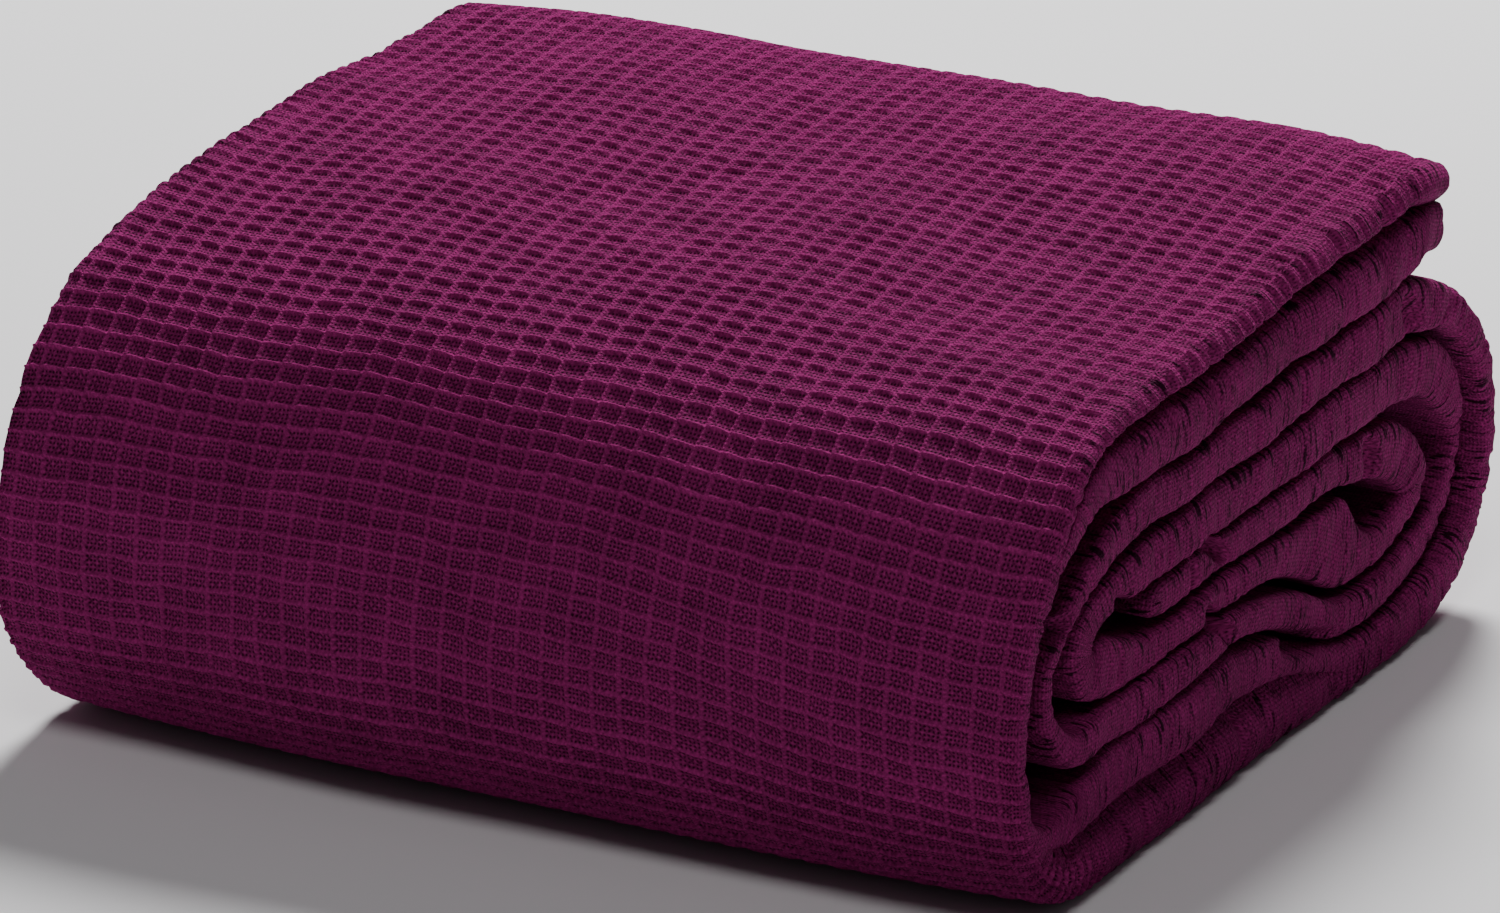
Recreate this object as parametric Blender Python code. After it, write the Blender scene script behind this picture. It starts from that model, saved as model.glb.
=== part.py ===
"""Waffle weave cotton blanket, folded into a strip and rolled up flat.

The strip lies across X, so its folded edges (the bights) are the two ends of
the bundle at -X and +X.  The strip is wound as a flattened spiral in the YZ
plane: it starts at the rear edge of the top flap, goes forward over the top,
down the big round front, back along the floor, up the rear and in again under
the flap, and so on to its inner end in the middle.  Its turns lie a little
apart.  The bundle rests on the flat run of its outermost turn at z = 0.

Metres, +Z up.  The origin is the middle of the bundle's footprint.
"""
import bpy
import bmesh
import math

# ---------------------------------------------------------------- dimensions
MM = 0.001
LENGTH = 360.0 * MM          # over the folded edges, along X
BIGHT_ROUND = 11.0 * MM      # how far a thick fold rounds over at its end
BIGHT_FULLNESS = 2.5         # 2 is a half circle, more is a plumper fold
BIGHT_DEEPEST = 0.5          # of the strip's thickness, for a thin fold
GROOVE = 10.0 * MM           # depth of the groove between two paired folds
GROOVE_DEEPEST = 0.7         # of one fold's thickness

# how closely the sections follow the wound path
SAMPLES = 24                 # looked at between two rows of the table
STEP_BEND = 10.0 * MM        # spacing round a bend
STEP_FLAT = 26.0 * MM        # spacing along a straight run
FLAT_TURN = 4.0              # degrees turned, below which a run is straight
MOST_TURN = 14.0             # degrees turned between two sections

# the strip's two cut-across ends, rounded in two steps: how much of the
# thickness is left, and how far past the last section, in cap lengths
CAP_LENGTH = 5.0 * MM
CAP_STEPS = [(0.85, 0.55), (0.45, 1.0)]
CAP_NARROWER = 0.02          # of the length, where no thickness is left

BLANKET_COLOUR = (0.150, 0.012, 0.080, 1.0)   # deep plum
BLANKET_ROUGHNESS = 0.9

# The section of the roll, one row for each fold or run, from the outer end of
# the strip to its inner end.  y, z is a point of the strip's OUTER side, thick
# is how far it reaches inward, pair is 1 where the strip shows two folds one
# above the other at its ends (0 where they lie pressed into one), share is the
# outer fold's part of the thickness, inset is how far the folded edge stands
# in from the ends of the bundle and sag how much lower its outer side lies
# there.  Millimetres.
SECTION = [
    # place             y       z      thick  pair  share  inset  sag
    ("flap end",       136.0,  159.5,   31.8,  1.0,  0.42,  1.5,  2.0),
    ("flap",           120.0,  166.0,   38.8,  1.0,  0.40,  0.0,  3.5),
    ("top rear",        90.0,  168.0,   41.5,  1.0,  0.40,  0.0,  4.0),
    ("top",             40.0,  166.5,   40.0,  1.0,  0.40,  0.0,  4.0),
    ("top middle",       0.0,  163.2,   37.5,  1.0,  0.40,  0.0,  3.5),
    ("top front",      -50.0,  159.5,   37.5,  1.0,  0.38,  0.0,  2.5),
    ("shoulder",      -101.0,  153.6,   31.0,  0.8,  0.36,  0.0,  1.5),
    ("front high",    -128.6,  145.5,   26.0,  0.2,  0.40,  0.0,  0.5),
    ("front upper",   -153.6,  125.1,   19.5,  0.0,  0.50,  0.0,  0.0),
    ("front",         -170.7,   93.8,   17.0,  0.0,  0.50,  0.0,  0.0),
    ("front nose",    -176.8,   59.4,   16.5,  0.0,  0.50,  0.0,  1.5),
    ("front lower",   -173.0,   33.9,   19.0,  0.0,  0.50,  0.0,  4.0),
    ("front foot",    -162.1,   15.6,   29.5,  0.2,  0.52,  0.0,  6.0),
    ("front low",     -144.9,    4.0,   38.0,  0.7,  0.54,  0.0,  3.0),
    ("floor front",   -121.0,    0.0,   42.0,  1.0,  0.54,  0.0,  0.3),
    ("floor",          -70.0,    0.0,   43.8,  1.0,  0.54,  0.0,  0.0),
    ("floor middle",   -15.0,    0.0,   43.0,  1.0,  0.55,  0.0,  0.0),
    ("floor thins",     12.0,    0.0,   38.0,  0.8,  0.60,  0.0,  0.0),
    ("floor dip",       36.0,    0.0,   27.5,  0.3,  0.70,  0.0,  0.0),
    ("floor rear",      62.0,    0.0,   19.0,  0.0,  0.50,  0.0,  0.0),
    ("floor end",      107.6,    0.0,   18.5,  0.0,  0.50,  0.0,  0.0),
    ("rear foot",      142.1,    6.7,   18.0,  0.0,  0.50,  0.0,  0.0),
    ("rear low",       167.4,   25.0,   15.5,  0.0,  0.50,  1.5,  0.0),
    ("rear",           176.7,   50.0,   14.0,  0.0,  0.50,  0.0,  0.0),
    ("rear high",      167.2,   85.8,   13.8,  0.0,  0.50,  0.0,  0.0),
    ("rear shoulder",  143.5,  111.8,   15.5,  0.0,  0.50,  0.0,  0.0),
    ("second rear",    113.0,  124.2,   18.0,  0.0,  0.50,  0.0,  0.0),
    ("second top",      60.0,  124.8,   18.0,  0.0,  0.50,  1.0,  0.0),
    ("second middle",    0.0,  123.8,   17.5,  0.0,  0.50,  1.0,  0.0),
    ("second front",   -50.0,  120.0,   15.0,  0.0,  0.50,  1.5,  0.0),
    ("second dip",     -95.0,  120.4,   16.0,  0.0,  0.50,  2.0,  0.0),
    ("inner front",   -126.0,  106.5,   12.0,  0.0,  0.50,  3.0,  0.0),
    ("inner nose",    -145.5,   84.0,    9.0,  0.0,  0.50,  3.0,  0.0),
    ("inner low",     -147.0,   66.0,    9.0,  0.0,  0.50,  3.0,  0.0),
    ("inner foot",    -134.5,   49.5,   10.5,  0.0,  0.50,  2.0,  0.0),
    ("lower front",   -108.0,   45.5,   12.5,  0.0,  0.50,  1.0,  0.0),
    ("lower middle",   -50.0,   45.2,   12.3,  0.0,  0.50,  1.0,  0.0),
    ("lower",           -8.0,   44.6,   12.5,  0.0,  0.50,  1.0,  0.0),
    ("dive",            24.0,   35.0,   13.6,  0.0,  0.50,  2.0,  0.0),
    ("dive foot",       52.0,   23.2,   12.8,  0.0,  0.50,  2.0,  0.0),
    ("lower rear",      85.0,   19.8,   12.8,  0.0,  0.50,  2.0,  0.0),
    ("lower end",      115.0,   21.5,   13.0,  0.0,  0.50,  2.0,  0.0),
    ("core rear low",  145.5,   32.0,   11.5,  0.0,  0.50,  5.0,  0.0),
    ("core rear",      159.6,   55.5,   11.5,  0.0,  0.50,  7.0,  0.0),
    ("core bulge",     152.8,   79.0,   18.0,  0.0,  0.50,  4.0,  0.0),
    ("core shoulder",  131.8,   98.8,   20.5,  0.0,  0.50,  2.0,  0.0),
    ("third rear",     102.0,  104.2,   19.0,  0.0,  0.50,  2.0,  0.0),
    ("third top",       50.0,  104.6,   18.0,  0.0,  0.50,  2.0,  0.0),
    ("third middle",     0.0,  104.4,   18.0,  0.0,  0.50,  2.5,  0.0),
    ("third front",    -50.0,  103.2,   17.0,  0.0,  0.50,  3.0,  0.0),
    ("third dip",      -90.0,  101.6,   16.0,  0.0,  0.50,  3.0,  0.0),
    ("inmost front",  -106.0,   96.2,   14.0,  0.0,  0.50,  4.0,  0.0),
    ("inmost brow",   -120.0,   89.6,   11.5,  0.0,  0.50,  4.0,  0.0),
    ("inmost nose",   -125.5,   77.2,   10.0,  0.0,  0.50,  4.0,  0.0),
    ("inmost chin",   -120.0,   65.0,   11.5,  0.0,  0.50,  4.0,  0.0),
    ("inmost foot",   -106.0,   59.2,   17.0,  0.0,  0.50,  3.0,  0.0),
    ("inmost floor",   -82.0,   58.7,   13.0,  0.0,  0.50,  3.0,  0.0),
    ("inmost middle",  -20.0,   58.7,   12.0,  0.0,  0.50,  3.0,  0.0),
    ("tongue",          12.0,   56.8,   14.0,  0.0,  0.50,  3.0,  0.0),
    ("tongue slope",    36.0,   47.8,   20.5,  0.0,  0.50,  3.0,  0.0),
    ("tongue foot",     62.0,   37.2,   27.0,  0.0,  0.50,  3.0,  0.0),
    ("tongue end",      86.0,   35.0,   13.0,  0.0,  0.50,  5.0,  0.0),
    ("loop foot",      108.0,   36.6,   10.5,  0.0,  0.50,  5.0,  0.0),
    ("loop heel",      121.5,   41.5,   10.5,  0.0,  0.50,  5.0,  0.0),
    ("loop nose",      129.5,   53.5,    8.6,  0.0,  0.50,  4.0,  0.0),
    ("loop brow",      123.5,   67.5,   12.5,  0.0,  0.50,  4.0,  0.0),
    ("loop shoulder",  109.0,   78.0,   18.0,  0.0,  0.50,  3.5,  0.0),
    ("loop top",        88.0,   82.8,   18.0,  0.0,  0.50,  3.5,  0.0),
    ("inner run",       50.0,   84.8,   14.0,  0.0,  0.50,  4.0,  0.0),
    ("inner run end",  -10.0,   84.8,   12.6,  0.0,  0.50,  4.0,  0.0),
    ("inner end",      -67.0,   83.4,   11.5,  0.0,  0.50,  5.0,  0.0),
]
Y, Z, THICK, PAIR, SHARE, INSET, SAG = range(1, 8)

LOBE_ANGLES = [0, 30, 60, 90, 120, 150, 180]        # degrees over one fold
MIDDLE_COLUMNS = [0.62, 0.0, -0.62]                 # of half the length


# ------------------------------------------------------------ the wound path
def spline(rows, columns, i, u):
    """The named columns at part u of the stretch from row i to row i + 1."""
    last = len(rows) - 1
    picked = [rows[max(0, min(last, i + k))] for k in (-1, 0, 1, 2)]
    before, here, after = (math.hypot(b[Y] - a[Y], b[Z] - a[Z])
                           for a, b in zip(picked, picked[1:]))
    before = before if i > 0 else here
    after = after if i < last - 1 else here
    out = []
    for c in columns:
        p0, p1, p2, p3 = (row[c] for row in picked)
        slope1 = ((p1 - p0) / before * here + (p2 - p1) / here * before) / (before + here)
        slope2 = ((p2 - p1) / here * after + (p3 - p2) / after * here) / (here + after)
        out.append((2 * u**3 - 3 * u**2 + 1) * p1
                   + (u**3 - 2 * u**2 + u) * slope1 * here
                   + (3 * u**2 - 2 * u**3) * p2
                   + (u**3 - u**2) * slope2 * here)
    return out


def mix(a, b, u):
    return a + (b - a) * u


def walk_strip():
    """Sections along the strip, closer together round the bends.

    Each is (y, z, inward_y, inward_z, thick, pair, share, inset, sag) in
    metres, on the strip's outer side.
    """
    dense = []
    for i, row in enumerate(SECTION):
        following = SECTION[min(i + 1, len(SECTION) - 1)]
        for k in range(SAMPLES if following is not row else 1):
            u = k / SAMPLES
            y, z, thick = spline(SECTION, (Y, Z, THICK), min(i, len(SECTION) - 2),
                                 u if following is not row else 1.0)
            pair, share, inset, sag = (mix(row[c], following[c], u)
                                       for c in (PAIR, SHARE, INSET, SAG))
            dense.append((y * MM, max(z, 0.0) * MM, thick * MM,
                          pair, share, inset * MM, sag * MM))

    def heading(k):
        a, b = dense[max(0, k - 2)], dense[min(len(dense) - 1, k + 2)]
        return math.atan2(b[1] - a[1], b[0] - a[0])

    picked, run, turned = [0], 0.0, 0.0
    for k in range(1, len(dense)):
        run += math.hypot(dense[k][0] - dense[k - 1][0], dense[k][1] - dense[k - 1][1])
        swing = heading(k) - heading(k - 1)
        turned += abs(math.atan2(math.sin(swing), math.cos(swing)))
        wanted = STEP_FLAT if turned < math.radians(FLAT_TURN) else STEP_BEND
        if run >= wanted or turned > math.radians(MOST_TURN):
            picked.append(k)
            run, turned = 0.0, 0.0
    picked[-1] = len(dense) - 1

    sections = []
    for k in picked:
        way = heading(k)
        y, z, thick, pair, share, inset, sag = dense[k]
        sections.append((y, z, -math.sin(way), math.cos(way),
                         thick, pair, share, inset, sag))
    return sections


# --------------------------------------------------------- one section's ring
def fold_back(across):
    """How far a fold's rounded end stands back, 0 at its middle to 1."""
    return 1.0 - max(0.0, 1.0 - abs(across) ** BIGHT_FULLNESS) ** (1.0 / BIGHT_FULLNESS)


def end_profile(thick, pair, share):
    """Points over one end of the strip, from its outer side to its inner.

    Each is (part of the thickness, distance in from the folded edge): one
    round fold, two round folds with a groove between them, or a mix.
    """
    points = []
    for fold in (0, 1):
        start, size = (0.0, share) if fold == 0 else (share, 1.0 - share)
        for degrees in LOBE_ANGLES[fold:]:
            turn = math.radians(degrees)
            across = start + size * (0.5 - 0.5 * math.cos(turn))
            paired = fold_back(math.cos(turn)) * min(GROOVE, GROOVE_DEEPEST * thick * size)
            single = fold_back(2.0 * across - 1.0) * min(BIGHT_ROUND, BIGHT_DEEPEST * thick)
            points.append((across, mix(single, paired, pair)))
    return points


def ring(section, shrink=1.0, slide=0.0):
    """The closed ring of points of one section, in order round the strip."""
    y, z, in_y, in_z, thick, pair, share, inset, sag = section
    profile = end_profile(thick, pair, share)
    centre = 0.5 * thick
    along_y, along_z = in_z, -in_y                    # the way the strip runs
    points = []

    def add(x, depth):
        depth = centre + (depth - centre) * shrink
        points.append((x * (1.0 - CAP_NARROWER * (1.0 - shrink)),
                       y + in_y * depth + along_y * slide,
                       z + in_z * depth + along_z * slide))

    half = 0.5 * LENGTH - inset
    for side in (1, -1):
        order = profile if side > 0 else profile[::-1]
        for across, back in order:
            depth = across * thick
            add(side * (half - back), depth + sag * (1.0 - across))
        # long sides between the two ends: inner side on the way to -X,
        # outer side on the way back
        for part in MIDDLE_COLUMNS:
            if side > 0:
                add(part * half, thick)
            else:
                add(-part * half, 0.25 * sag * abs(part))
    return points


def build_strip(name, material, collection):
    sections = walk_strip()
    rings = [ring(s) for s in sections]
    for shrink, slide in CAP_STEPS:
        rings.insert(0, ring(sections[0], shrink, -slide * CAP_LENGTH))
        rings.append(ring(sections[-1], shrink, slide * CAP_LENGTH))

    mesh = bpy.data.meshes.new(name)
    bm = bmesh.new()
    rows = [[bm.verts.new(p) for p in points] for points in rings]
    count = len(rows[0])
    for a, b in zip(rows, rows[1:]):
        for k in range(count):
            n = (k + 1) % count
            bm.faces.new((a[k], b[k], b[n], a[n]))
    close_end(bm, rows[0])
    close_end(bm, rows[-1])
    bmesh.ops.recalc_face_normals(bm, faces=bm.faces)
    bm.to_mesh(mesh)
    bm.free()
    obj = bpy.data.objects.new(name, mesh)
    mesh.materials.append(material)
    collection.objects.link(obj)
    mesh.shade_smooth()
    mesh.set_sharp_from_angle(angle=math.radians(50))
    return obj


def close_end(bm, row):
    """Close a ring with faces from its outer to its inner side.

    They start at the tip of the fold at +X and go across, a pair of points
    at a time, to the fold at -X.
    """
    tip = len(LOBE_ANGLES) - 1
    previous = (row[tip], row[tip])
    for step in range(1, len(row) // 2 + 1):
        pair = (row[(tip - step) % len(row)], row[(tip + step) % len(row)])
        corners = []
        for v in (previous[0], pair[0], pair[1], previous[1]):
            if v not in corners:
                corners.append(v)
        bm.faces.new(corners)
        previous = pair


# ------------------------------------------------------------------- material
def plum_cotton():
    material = bpy.data.materials.new("plum cotton")
    material.use_nodes = True
    shader = material.node_tree.nodes["Principled BSDF"]
    shader.inputs["Base Color"].default_value = BLANKET_COLOUR
    shader.inputs["Roughness"].default_value = BLANKET_ROUGHNESS
    shader.inputs["Metallic"].default_value = 0.0
    return material


def main():
    for obj in list(bpy.data.objects):
        bpy.data.objects.remove(obj, do_unlink=True)
    parts = bpy.data.collections.new("waffle weave cotton blanket")
    bpy.context.scene.collection.children.link(parts)
    build_strip("blanket", plum_cotton(), parts)


main()
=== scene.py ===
"""Looks of the waffle weave cotton blanket, folded into a strip and rolled up.

One rule gives every point of the cloth: the strip's wound path in the YZ
plane, the rounded folds at its two ends (-X and +X), and the woven relief of
raised ridges round sunken cells.  The pieces are cut from that one surface,
so their borders meet.  Lengths are millimetres up to where a mesh is made.
"""
import math
from collections import namedtuple

import bmesh
import bpy
import numpy as np
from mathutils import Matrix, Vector


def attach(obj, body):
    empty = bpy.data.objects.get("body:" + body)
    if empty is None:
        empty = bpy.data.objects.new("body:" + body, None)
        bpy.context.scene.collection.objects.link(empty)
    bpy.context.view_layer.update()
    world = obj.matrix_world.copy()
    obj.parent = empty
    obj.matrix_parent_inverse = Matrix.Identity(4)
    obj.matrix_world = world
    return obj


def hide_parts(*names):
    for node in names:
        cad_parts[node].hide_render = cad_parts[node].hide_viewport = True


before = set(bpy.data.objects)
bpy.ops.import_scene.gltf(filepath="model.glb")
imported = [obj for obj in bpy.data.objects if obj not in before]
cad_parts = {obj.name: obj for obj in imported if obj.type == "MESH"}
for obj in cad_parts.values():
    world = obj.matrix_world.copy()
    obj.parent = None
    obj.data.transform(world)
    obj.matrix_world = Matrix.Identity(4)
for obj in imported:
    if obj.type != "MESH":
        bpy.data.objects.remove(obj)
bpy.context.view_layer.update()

MM = 0.001

# ------------------------------------------------------------ driving sizes
LENGTH = 360.0              # over the folded edges, along X
CELL_X = 9.1                # one waffle cell, across the strip
CELL_S = 7.0                # one waffle cell, along the strip
RELIEF = 1.7                # depth of a cell's floor under its ridges
RIDGE_X = 0.80              # half width of the cords that run along X
RIDGE_S = 0.62              # half width of the cords that run along the strip
CORD_SAG = 0.90             # how much lower a cord along X is where one crosses it
CORD_LOW = 0.70             # how much lower the cords along the strip are
CORD_SKEW = 0.8             # how far a cord along X slants within one cell
FOLD_BACK = 7.5             # how far a folded edge rounds over
INNER_BACK = 5.5            # the same for the turns pressed inside the roll
FOLD_FULLNESS = 3.0         # 2 is a half circle, more is a plumper fold
EDGE_BACK = 5.5             # rounding of the top cloth's edge, which overhangs
EDGE_APEX = -0.08           # where that edge stands out most, -1 its outer side
EDGE_FULLNESS = 1.7         # of that edge, sharper than a half circle
CRACK = 11.5                # depth of the crack between two paired folds
END_RADIUS = 6.5            # rounding of the strip's two cut ends
END_TUCKS = (3.0, 8.0, 14.0)    # how far the outer end's cloth then runs back in
WELD = 0.000002             # metres
WEAVE_TAKE_UP = 1.15        # the relief's surface over the flat cloth's
SEED = 7

# The section of the roll, one row for each fold or run, from the outer end of
# the strip to its inner end: y, z on the strip's outer side, thick inward, pair
# 1 for two folds and 0 for one, share is the outer fold's part, inset from the
# ends of the bundle, sag of the outer side there.  The rows are those of the
# solid's table, but the outer turn is up to 4 mm thinner here, the turn behind
# it lies a little further out, the top sags up to 4 mm more near its ends, and
# the noses inside the roll are fuller.
SECTION = [
    # place             y       z      thick  pair  share  inset  sag
    ("flap end",       136.0,  159.5,   31.8,  1.0,  0.42,  1.5,  4.5),
    ("flap",           120.0,  166.0,   38.8,  1.0,  0.40,  0.0,  7.0),
    ("top rear",        90.0,  168.0,   41.5,  1.0,  0.40,  0.0,  8.0),
    ("top",             40.0,  166.5,   40.0,  1.0,  0.40,  0.0,  7.5),
    ("top middle",       0.0,  163.2,   37.5,  1.0,  0.40,  0.0,  6.0),
    ("top front",      -50.0,  159.5,   37.5,  1.0,  0.38,  0.0,  4.0),
    ("shoulder",      -101.0,  153.6,   31.0,  0.8,  0.36,  0.0,  2.0),
    ("front high",    -128.6,  145.5,   24.0,  0.2,  0.40,  0.0,  0.5),
    ("front upper",   -153.6,  125.1,   16.0,  0.0,  0.50,  0.0,  0.0),
    ("front",         -170.7,   93.8,   13.0,  0.0,  0.50,  0.0,  0.0),
    ("front nose",    -176.8,   59.4,   12.5,  0.0,  0.50,  0.0,  1.5),
    ("front lower",   -173.0,   33.9,   15.0,  0.0,  0.50,  0.0,  4.0),
    ("front foot",    -162.1,   15.6,   29.5,  0.2,  0.52,  0.0,  6.0),
    ("front low",     -144.9,    4.0,   38.0,  0.7,  0.54,  0.0,  3.0),
    ("floor front",   -121.0,    0.0,   42.0,  1.0,  0.54,  0.0,  0.3),
    ("floor",          -70.0,    0.0,   43.8,  1.0,  0.54,  0.0,  0.0),
    ("floor middle",   -15.0,    0.0,   43.0,  1.0,  0.55,  0.0,  0.0),
    ("floor thins",     12.0,    0.0,   38.0,  0.8,  0.60,  0.0,  0.0),
    ("floor dip",       36.0,    0.0,   27.5,  0.3,  0.70,  0.0,  0.0),
    ("floor rear",      62.0,    0.0,   19.0,  0.0,  0.50,  0.0,  0.0),
    ("floor end",      107.6,    0.0,   18.5,  0.0,  0.50,  0.0,  0.0),
    ("rear foot",      142.1,    6.7,   18.0,  0.0,  0.50,  0.0,  0.0),
    ("rear low",       167.4,   25.0,   14.0,  0.0,  0.50,  1.5,  0.0),
    ("rear",           176.7,   50.0,   11.5,  0.0,  0.50,  0.0,  0.0),
    ("rear high",      167.2,   85.8,   11.0,  0.0,  0.50,  0.0,  0.0),
    ("rear shoulder",  143.5,  111.8,   13.5,  0.0,  0.50,  0.0,  0.0),
    ("second rear",    113.0,  124.2,   18.0,  0.0,  0.50,  0.0,  0.0),
    ("second top",      60.0,  124.8,   18.0,  0.0,  0.50,  1.0,  0.0),
    ("second middle",    0.0,  123.8,   17.5,  0.0,  0.50,  1.0,  0.0),
    ("second front",   -50.0,  120.0,   15.0,  0.0,  0.50,  1.5,  0.0),
    ("second dip",     -95.0,  120.4,   16.0,  0.0,  0.50,  2.0,  0.0),
    ("inner front",   -126.0,  106.5,   12.0,  0.0,  0.50,  3.0,  0.0),
    ("inner nose",    -148.0,   84.0,    8.5,  0.0,  0.50,  3.0,  0.0),
    ("inner low",     -149.0,   66.0,    8.5,  0.0,  0.50,  3.0,  0.0),
    ("inner foot",    -136.0,   49.5,   10.5,  0.0,  0.50,  2.0,  0.0),
    ("lower front",   -108.0,   45.5,   12.5,  0.0,  0.50,  1.0,  0.0),
    ("lower middle",   -50.0,   45.2,   12.3,  0.0,  0.50,  1.0,  0.0),
    ("lower",           -8.0,   44.6,   12.5,  0.0,  0.50,  1.0,  0.0),
    ("dive",            24.0,   35.0,   13.6,  0.0,  0.50,  2.0,  0.0),
    ("dive foot",       52.0,   23.2,   12.8,  0.0,  0.50,  2.0,  0.0),
    ("lower rear",      85.0,   19.8,   12.8,  0.0,  0.50,  2.0,  0.0),
    ("lower end",      115.0,   21.5,   13.0,  0.0,  0.50,  2.0,  0.0),
    ("core rear low",  145.5,   32.0,   11.5,  0.0,  0.50,  5.0,  0.0),
    ("core rear",      162.0,   55.0,    9.0,  0.0,  0.50,  7.0,  0.0),
    ("core bulge",     155.6,   79.8,   19.0,  0.0,  0.50,  4.0,  0.0),
    ("core shoulder",  133.6,  100.4,   22.0,  0.0,  0.50,  2.0,  0.0),
    ("third rear",     104.0,  104.9,   20.0,  0.0,  0.50,  2.0,  0.0),
    ("third top",       50.0,  104.6,   18.0,  0.0,  0.50,  2.0,  0.0),
    ("third middle",     0.0,  104.4,   18.0,  0.0,  0.50,  2.5,  0.0),
    ("third front",    -50.0,  103.2,   17.0,  0.0,  0.50,  3.0,  0.0),
    ("third dip",      -90.0,  101.6,   16.0,  0.0,  0.50,  3.0,  0.0),
    ("inmost front",  -108.0,   96.6,   14.0,  0.0,  0.50,  4.0,  0.0),
    ("inmost brow",   -122.0,   89.6,   16.0,  0.0,  0.50,  4.0,  0.0),
    ("inmost nose",   -127.5,   77.2,   16.5,  0.0,  0.50,  4.0,  0.0),
    ("inmost chin",   -122.0,   65.0,   17.0,  0.0,  0.50,  4.0,  0.0),
    ("inmost foot",   -106.0,   59.2,   20.0,  0.0,  0.50,  3.0,  0.0),
    ("inmost floor",   -82.0,   58.7,   13.0,  0.0,  0.50,  3.0,  0.0),
    ("inmost middle",  -20.0,   58.7,   12.0,  0.0,  0.50,  3.0,  0.0),
    ("tongue",          12.0,   56.8,   14.0,  0.0,  0.50,  3.0,  0.0),
    ("tongue slope",    36.0,   47.8,   20.5,  0.0,  0.50,  3.0,  0.0),
    ("tongue foot",     62.0,   37.2,   29.0,  0.0,  0.50,  3.0,  0.0),
    ("tongue end",      86.0,   35.0,   13.0,  0.0,  0.50,  5.0,  0.0),
    ("loop foot",      108.0,   36.6,   13.0,  0.0,  0.50,  5.0,  0.0),
    ("loop heel",      121.5,   41.5,   16.0,  0.0,  0.50,  5.0,  0.0),
    ("loop nose",      129.5,   53.5,   18.0,  0.0,  0.50,  4.0,  0.0),
    ("loop brow",      123.5,   67.5,   20.0,  0.0,  0.50,  4.0,  0.0),
    ("loop shoulder",  109.0,   78.0,   20.0,  0.0,  0.50,  3.5,  0.0),
    ("loop top",        88.0,   82.8,   18.0,  0.0,  0.50,  3.5,  0.0),
    ("inner run",       50.0,   84.8,   14.0,  0.0,  0.50,  4.0,  0.0),
    ("inner run end",  -10.0,   84.8,   12.6,  0.0,  0.50,  4.0,  0.0),
    ("inner end",      -67.0,   83.4,   11.5,  0.0,  0.50,  5.0,  0.0),
]
NUMBERS = range(1, 8)
Y, Z, THICK, PAIR, SHARE, INSET, SAG = NUMBERS

# Distances from the flap's end at which things begin and at which they are full.
EDGE_GROWS = (8.0, 40.0)        # the overhang of the top cloth's edge
CRACK_GROWS = (4.0, 40.0)       # the crack, from CRACK_AT_END of its depth
CREASES_GROW = (10.0, 34.0)
RIBS_GROW = (6.0, 22.0)
STRAY_GROWS = (0.0, 40.0)       # the straying of the cells, at both cut ends
CRACK_AT_END = 0.35

# Creases pressed across the folded edges at +X, one row each: the place of
# the fold in the end view, how deep and how wide the crease is, and which
# half of the fold it takes (-1 outer half, 1 inner half, 0 both).
CREASES = [
    # y       z     deep  wide  half
    (-46.0,  72.0,   3.0,  3.0,  0),
    (-98.0,  74.0,   2.5,  3.0,  0),
    (-68.0, 150.0,   3.0,  4.0, -1),
    (-42.0, 149.0,   2.5,  4.0, -1),
    (52.0,  152.0,   3.0,  2.5, -1),
    (82.0,  152.0,   3.0,  3.0, -1),
    (90.0,  152.0,   2.5,  2.5, -1),
    (28.0,  120.0,   2.5,  3.0,  0),
    (-98.0,  20.0,   2.5,  3.0, -1),
    (-82.0,  19.0,   2.5,  3.0, -1),
    (-48.0,  22.0,   3.0,  3.0, -1),
    (-12.0,  22.0,   3.0,  3.0, -1),
    (4.0,    20.0,   2.5,  3.0, -1),
]

# Dark pockets that open between the folds at +X, one row each: its two ends
# in the end view, its width and its depth.
POCKETS = [
    # y1      z1     y2      z2     wide   deep
    (-96.0,   88.0, -77.0,   71.0,  6.0,  10.0),
    (-36.0,   87.0, -20.0,   76.0,  6.0,   8.0),
    (-38.0,   64.0, -25.0,   51.0,  6.0,  10.0),
    (16.0,    33.0,  50.0,   26.0,  6.0,   9.0),
    (84.0,    80.0,  87.0,   64.0,  9.0,   6.0),
    (101.0,  121.0,  112.0, 107.0,  9.0,   6.0),
    (-146.0,  92.0, -132.0,  96.0,  5.0,   6.0),
]


# ---------------------------------------------------------- the wound path
def spline(rows, column, i, u):
    """One column at part u (an array) of the stretch from row i to i + 1."""
    last = len(rows) - 1
    picked = [rows[max(0, min(last, i + k))] for k in (-1, 0, 1, 2)]
    before, here, after = (math.hypot(b[Y] - a[Y], b[Z] - a[Z])
                           for a, b in zip(picked, picked[1:]))
    before = before if i > 0 else here
    after = after if i < last - 1 else here
    p0, p1, p2, p3 = (row[column] for row in picked)
    slope1 = ((p1 - p0) / before * here + (p2 - p1) / here * before) / (before + here)
    slope2 = ((p2 - p1) / here * after + (p3 - p2) / after * here) / (here + after)
    return ((2 * u**3 - 3 * u**2 + 1) * p1 + (u**3 - 2 * u**2 + u) * slope1 * here
            + (3 * u**2 - 2 * u**3) * p2 + (u**3 - u**2) * slope2 * here)


def smooth(values, width):
    """Values on an even line, averaged over about width of their steps."""
    reach = int(3 * width)
    weights = np.exp(-0.5 * (np.arange(-reach, reach + 1) / width) ** 2)
    padded = np.concatenate([2 * values[0] - values[reach:0:-1], values,
                             2 * values[-1] - values[-2:-reach - 2:-1]])
    return np.convolve(padded, weights / weights.sum(), "valid")


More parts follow.
